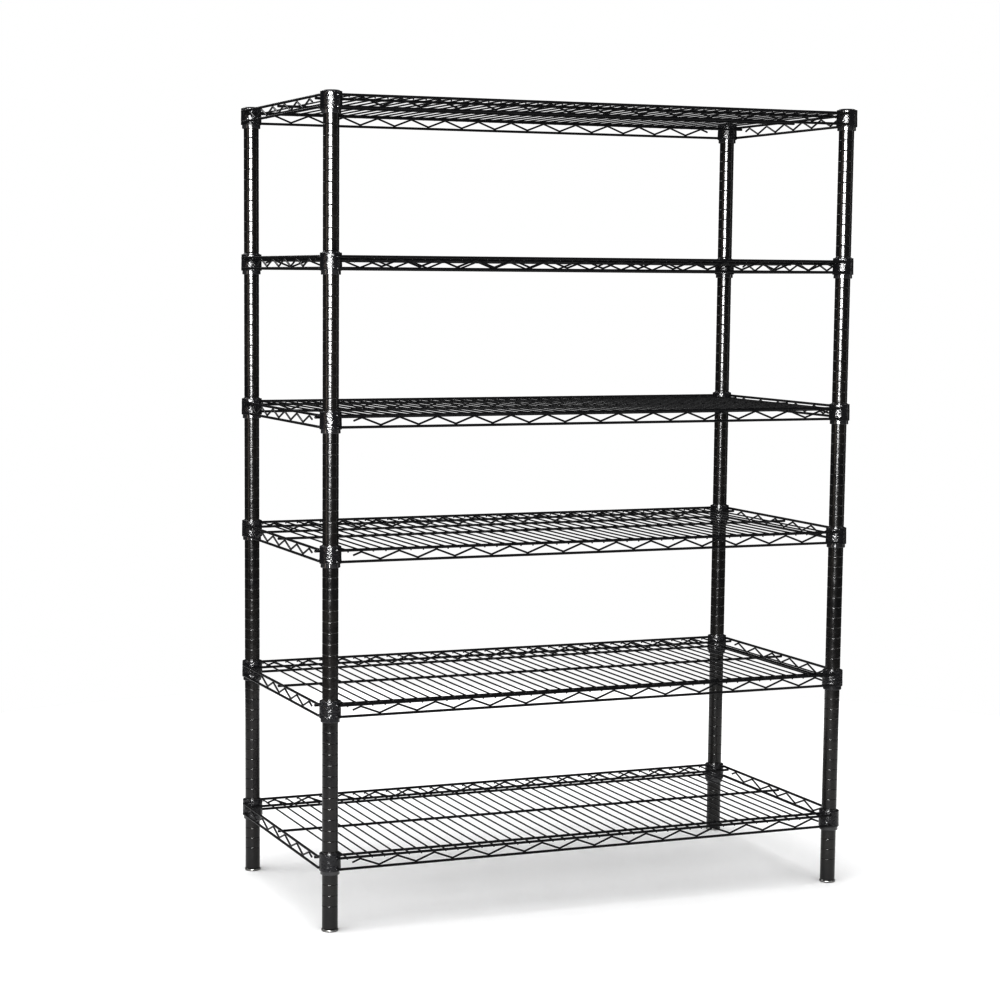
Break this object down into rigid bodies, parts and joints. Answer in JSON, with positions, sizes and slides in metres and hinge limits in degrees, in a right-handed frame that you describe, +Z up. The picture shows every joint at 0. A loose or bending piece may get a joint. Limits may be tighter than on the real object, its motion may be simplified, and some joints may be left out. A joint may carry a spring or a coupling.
{
  "type": "wire shelving rack",
  "caption": "Free-standing wire shelving rack: grooved round posts carry welded wire shelves on split tapered sleeves, and stand on screw levelling feet.",
  "frame": {"origin": "on the floor, at the middle of the rack's footprint", "axes": "+Z up along the posts, +X along the long side of the shelves, -Y the front"},
  "size_m": [1.378, 0.6638, 1.913],
  "materials": {
    "black_powder_coat_post": "glossy black powder coat on steel tube",
    "black_powder_coat_collar": "glossy black powder coat with orange peel on stamped steel",
    "black_powder_coat_wire": "glossy black powder coat on steel wire",
    "black_plastic_sleeve": "moulded gloss black plastic",
    "black_plastic_cap": "moulded semi-matt black plastic",
    "zinc_foot": "bright zinc plate"
  },
  "bodies": {
    "root": {"post_front_left": "black_powder_coat_post", "post_cap_front_left": "black_plastic_cap", "foot_insert_front_left": "black_plastic_cap", "post_front_right": "black_powder_coat_post", "post_cap_front_right": "black_plastic_cap", "foot_insert_front_right": "black_plastic_cap", "post_back_left": "black_powder_coat_post", "post_cap_back_left": "black_plastic_cap", "foot_insert_back_left": "black_plastic_cap", "post_back_right": "black_powder_coat_post", "post_cap_back_right": "black_plastic_cap", "foot_insert_back_right": "black_plastic_cap", "shelf_1_split_sleeves": "black_plastic_sleeve", "shelf_2_split_sleeves": "black_plastic_sleeve", "shelf_3_split_sleeves": "black_plastic_sleeve", "shelf_4_split_sleeves": "black_plastic_sleeve", "shelf_5_split_sleeves": "black_plastic_sleeve", "shelf_6_split_sleeves": "black_plastic_sleeve"},
    "shelf_1": {"shelf_1_corner_collars": "black_powder_coat_collar", "shelf_1_rim_wires": "black_powder_coat_wire", "shelf_1_snake_wires": "black_powder_coat_wire", "shelf_1_mat_wires": "black_powder_coat_wire", "shelf_1_support_rods": "black_powder_coat_wire"},
    "shelf_2": {"shelf_2_corner_collars": "black_powder_coat_collar", "shelf_2_rim_wires": "black_powder_coat_wire", "shelf_2_snake_wires": "black_powder_coat_wire", "shelf_2_mat_wires": "black_powder_coat_wire", "shelf_2_support_rods": "black_powder_coat_wire"},
    "shelf_3": {"shelf_3_corner_collars": "black_powder_coat_collar", "shelf_3_rim_wires": "black_powder_coat_wire", "shelf_3_snake_wires": "black_powder_coat_wire", "shelf_3_mat_wires": "black_powder_coat_wire", "shelf_3_support_rods": "black_powder_coat_wire"},
    "shelf_4": {"shelf_4_corner_collars": "black_powder_coat_collar", "shelf_4_rim_wires": "black_powder_coat_wire", "shelf_4_snake_wires": "black_powder_coat_wire", "shelf_4_mat_wires": "black_powder_coat_wire", "shelf_4_support_rods": "black_powder_coat_wire"},
    "shelf_5": {"shelf_5_corner_collars": "black_powder_coat_collar", "shelf_5_rim_wires": "black_powder_coat_wire", "shelf_5_snake_wires": "black_powder_coat_wire", "shelf_5_mat_wires": "black_powder_coat_wire", "shelf_5_support_rods": "black_powder_coat_wire"},
    "shelf_6": {"shelf_6_corner_collars": "black_powder_coat_collar", "shelf_6_rim_wires": "black_powder_coat_wire", "shelf_6_snake_wires": "black_powder_coat_wire", "shelf_6_mat_wires": "black_powder_coat_wire", "shelf_6_support_rods": "black_powder_coat_wire"},
    "foot_front_left": {"foot_pad_front_left": "zinc_foot"},
    "stem_front_left": {"foot_stem_front_left": "zinc_foot"},
    "foot_front_right": {"foot_pad_front_right": "zinc_foot"},
    "stem_front_right": {"foot_stem_front_right": "zinc_foot"},
    "foot_back_left": {"foot_pad_back_left": "zinc_foot"},
    "stem_back_left": {"foot_stem_back_left": "zinc_foot"},
    "foot_back_right": {"foot_pad_back_right": "zinc_foot"},
    "stem_back_right": {"foot_stem_back_right": "zinc_foot"}
  },
  "joints": [
    {"name": "shelf_1_lift", "type": "slide", "parent": "root", "child": "shelf_1", "axis": [0, 0, 1], "range_m": [0, 0.3058]},
    {"name": "shelf_2_lift", "type": "slide", "parent": "root", "child": "shelf_2", "axis": [0, 0, 1], "range_m": [0, 0.3058]},
    {"name": "shelf_3_lift", "type": "slide", "parent": "root", "child": "shelf_3", "axis": [0, 0, 1], "range_m": [0, 0.255]},
    {"name": "shelf_4_lift", "type": "slide", "parent": "root", "child": "shelf_4", "axis": [0, 0, 1], "range_m": [0, 0.3058]},
    {"name": "shelf_5_lift", "type": "slide", "parent": "root", "child": "shelf_5", "axis": [0, 0, 1], "range_m": [0, 0.3058]},
    {"name": "shelf_6_lift", "type": "slide", "parent": "root", "child": "shelf_6", "axis": [0, 0, 1], "range_m": [0, 0.12]},
    {"name": "foot_front_left_level", "type": "slide", "parent": "root", "child": "foot_front_left", "axis": [0, 0, -1], "range_m": [0, 0.019]},
    {"name": "stem_front_left_turn", "type": "hinge", "parent": "foot_front_left", "child": "stem_front_left", "pos_m": [-0.66, -0.303, 0.02], "axis": [0, 0, 1], "range_deg": [-4320, 0]},
    {"name": "foot_front_right_level", "type": "slide", "parent": "root", "child": "foot_front_right", "axis": [0, 0, -1], "range_m": [0, 0.019]},
    {"name": "stem_front_right_turn", "type": "hinge", "parent": "foot_front_right", "child": "stem_front_right", "pos_m": [0.66, -0.303, 0.02], "axis": [0, 0, 1], "range_deg": [-4320, 0]},
    {"name": "foot_back_left_level", "type": "slide", "parent": "root", "child": "foot_back_left", "axis": [0, 0, -1], "range_m": [0, 0.019]},
    {"name": "stem_back_left_turn", "type": "hinge", "parent": "foot_back_left", "child": "stem_back_left", "pos_m": [-0.66, 0.303, 0.02], "axis": [0, 0, 1], "range_deg": [-4320, 0]},
    {"name": "foot_back_right_level", "type": "slide", "parent": "root", "child": "foot_back_right", "axis": [0, 0, -1], "range_m": [0, 0.019]},
    {"name": "stem_back_right_turn", "type": "hinge", "parent": "foot_back_right", "child": "stem_back_right", "pos_m": [0.66, 0.303, 0.02], "axis": [0, 0, 1], "range_deg": [-4320, 0]}
  ],
  "couplings": [
    {"joint": "stem_front_left_turn", "follows": "foot_front_left_level", "rad_per_m": -3957.9},
    {"joint": "stem_front_right_turn", "follows": "foot_front_right_level", "rad_per_m": -3957.9},
    {"joint": "stem_back_left_turn", "follows": "foot_back_left_level", "rad_per_m": -3957.9},
    {"joint": "stem_back_right_turn", "follows": "foot_back_right_level", "rad_per_m": -3957.9}
  ]
}
